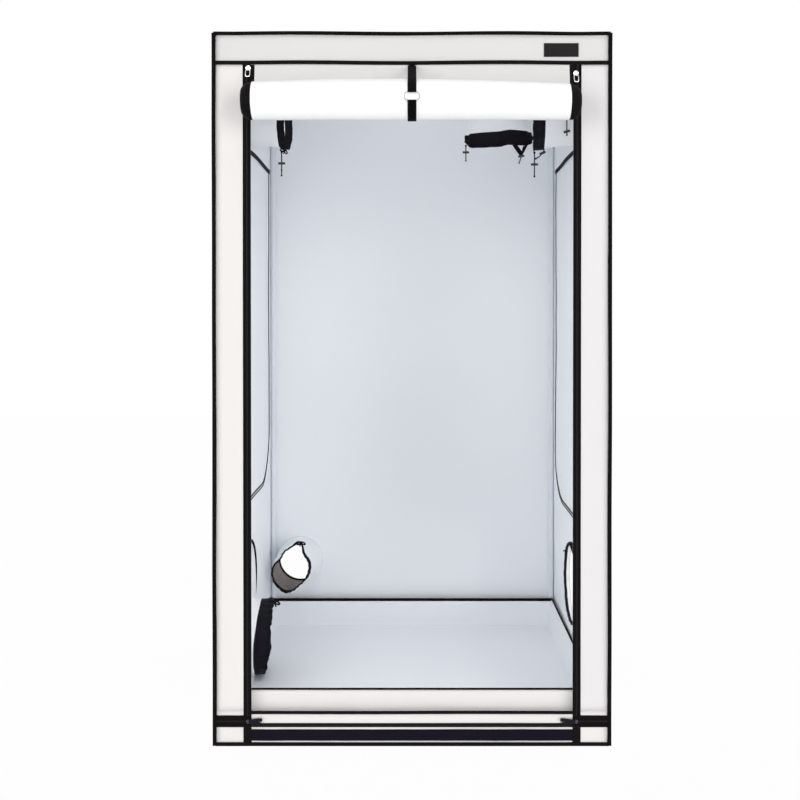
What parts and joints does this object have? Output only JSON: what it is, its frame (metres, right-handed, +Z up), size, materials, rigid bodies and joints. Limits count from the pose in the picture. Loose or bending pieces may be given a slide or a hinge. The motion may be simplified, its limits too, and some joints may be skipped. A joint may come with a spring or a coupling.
{
  "type": "indoor grow tent",
  "caption": "Square indoor grow tent: a pole frame in a fabric skin, with a rolled front door, side doors, duct sleeves, hanging bars and a spill tray.",
  "frame": {"origin": "centre of the skin's footprint, on the floor", "axes": "+Z up, -Y towards the front door, +X to the right seen from the front"},
  "size_m": [1.21, 1.3523, 2.2],
  "materials": {
    "skin_cloth": "white coated weave",
    "silver_lining": "pale reflective film on cloth",
    "black_webbing": "black woven tape",
    "drawcord": "braided black cord",
    "black_plastic": "moulded, fine grain",
    "pole_paint": "white powder coat",
    "bar_steel": "zinc plated",
    "bright_metal": "plated, polished"
  },
  "bodies": {
    "root": {"floor_panel": "skin_cloth", "roof_panel": "skin_cloth", "back_panel": "skin_cloth", "left_panel": "skin_cloth", "right_panel": "skin_cloth", "front_header": "skin_cloth", "front_strip_left": "skin_cloth", "front_strip_right": "skin_cloth", "front_sill": "skin_cloth", "door_sheet": "skin_cloth", "upper_left_sleeve": "silver_lining", "upper_right_sleeve": "silver_lining", "lower_left_sleeve": "silver_lining", "lower_right_sleeve": "silver_lining", "roof_sleeve": "silver_lining", "back_sleeve": "silver_lining", "floor_tray": "silver_lining", "connector_bottom_front_left": "black_plastic", "connector_bottom_front_right": "black_plastic", "connector_bottom_rear_left": "black_plastic", "connector_bottom_rear_right": "black_plastic", "connector_top_front_left": "black_plastic", "connector_top_front_right": "black_plastic", "connector_top_rear_left": "black_plastic", "connector_top_rear_right": "black_plastic", "rail_bottom_front": "pole_paint", "rail_bottom_rear": "pole_paint", "rail_bottom_left": "pole_paint", "rail_bottom_right": "pole_paint", "rail_top_front": "pole_paint", "rail_top_rear": "pole_paint", "rail_top_left": "pole_paint", "rail_top_right": "pole_paint", "upright_front_left": "pole_paint", "upright_front_right": "pole_paint", "upright_rear_left": "pole_paint", "upright_rear_right": "pole_paint", "door_zip_left": "black_webbing", "door_zip_right": "black_webbing", "corner_zip_left": "black_webbing", "corner_zip_right": "black_webbing", "hook_loop_band": "black_webbing", "roll_strap_upper": "black_webbing", "strap_ring": "bright_metal", "upper_left_cord": "drawcord", "upper_right_cord": "drawcord", "roof_cord": "drawcord"},
    "door_roll": {"door_roll": "skin_cloth", "roll_strap_lower": "black_webbing"},
    "left_side_door": {"left_side_door": "skin_cloth"},
    "right_side_door": {"right_side_door": "skin_cloth"},
    "door_slider_left": {"door_slider_left": "bright_metal"},
    "door_slider_right": {"door_slider_right": "bright_metal"},
    "corner_slider_left": {"corner_slider_left": "bright_metal"},
    "corner_slider_right": {"corner_slider_right": "bright_metal"},
    "hanging_bar_front": {"hanging_bar_front": "bar_steel"},
    "hanging_bar_rear": {"hanging_bar_rear": "bar_steel"},
    "upper_left_toggle": {"upper_left_toggle": "black_plastic"},
    "upper_right_toggle": {"upper_right_toggle": "black_plastic"},
    "roof_toggle": {"roof_toggle": "black_plastic"}
  },
  "joints": [
    {"name": "door_unroll", "type": "slide", "parent": "root", "child": "door_roll", "axis": [0, 0, -1], "range_m": [0, 1.84], "deforming": ["door_sheet"]},
    {"name": "left_door_swing", "type": "hinge", "parent": "root", "child": "left_side_door", "pos_m": [-0.605, 0, 1.92], "axis": [0, 1, 0], "range_deg": [0, 100]},
    {"name": "right_door_swing", "type": "hinge", "parent": "root", "child": "right_side_door", "pos_m": [0.605, 0, 1.92], "axis": [0, -1, 0], "range_deg": [0, 100]},
    {"name": "left_door_zip", "type": "slide", "parent": "root", "child": "door_slider_left", "axis": [0, 0, -1], "range_m": [0, 1.95]},
    {"name": "right_door_zip", "type": "slide", "parent": "root", "child": "door_slider_right", "axis": [0, 0, -1], "range_m": [0, 1.93]},
    {"name": "left_corner_zip", "type": "slide", "parent": "root", "child": "corner_slider_left", "axis": [-1, 0, 0], "range_m": [0, 0.085]},
    {"name": "right_corner_zip", "type": "slide", "parent": "root", "child": "corner_slider_right", "axis": [1, 0, 0], "range_m": [0, 0.085]},
    {"name": "front_bar_slide", "type": "slide", "parent": "root", "child": "hanging_bar_front", "axis": [0, 1, 0], "range_m": [-0.3, 0.13]},
    {"name": "rear_bar_slide", "type": "slide", "parent": "root", "child": "hanging_bar_rear", "axis": [0, 1, 0], "range_m": [-0.1, 0.03]},
    {"name": "upper_left_toggle_slide", "type": "slide", "parent": "root", "child": "upper_left_toggle", "axis": [0, 0, 1], "range_m": [-0.035, 0.03]},
    {"name": "upper_right_toggle_slide", "type": "slide", "parent": "root", "child": "upper_right_toggle", "axis": [0, 0, 1], "range_m": [-0.035, 0.03]},
    {"name": "roof_toggle_slide", "type": "slide", "parent": "root", "child": "roof_toggle", "axis": [0, 0, 1], "range_m": [-0.022, 0.016]}
  ]
}
